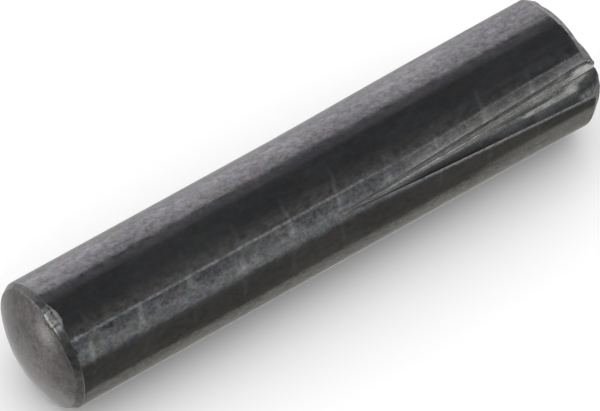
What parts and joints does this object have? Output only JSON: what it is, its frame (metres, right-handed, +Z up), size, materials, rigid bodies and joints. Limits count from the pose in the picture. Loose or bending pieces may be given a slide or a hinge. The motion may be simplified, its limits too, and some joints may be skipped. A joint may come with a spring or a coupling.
{
  "type": "half-length taper grooved pin",
  "caption": "Steel fastening pin with domed ends: half its length is plain, and the rest has tapering pressed V grooves whose raised lips grip a drilled hole.",
  "frame": {"origin": "on the pin's axis at mid-length, where the plain half ends and the grooved half begins", "axes": "+X along the axis towards the grooved end, +Z up as the pin lies at rest with one groove facing down, +Y completes a right-handed frame"},
  "size_m": [0.024, 0.0052, 0.0051],
  "materials": {
    "dark_steel": "plain dark drawn steel, lightly oiled and scuffed, with fine scratches along its length"
  },
  "bodies": {
    "root": {"grooved_pin": "dark_steel"}
  },
  "joints": []
}
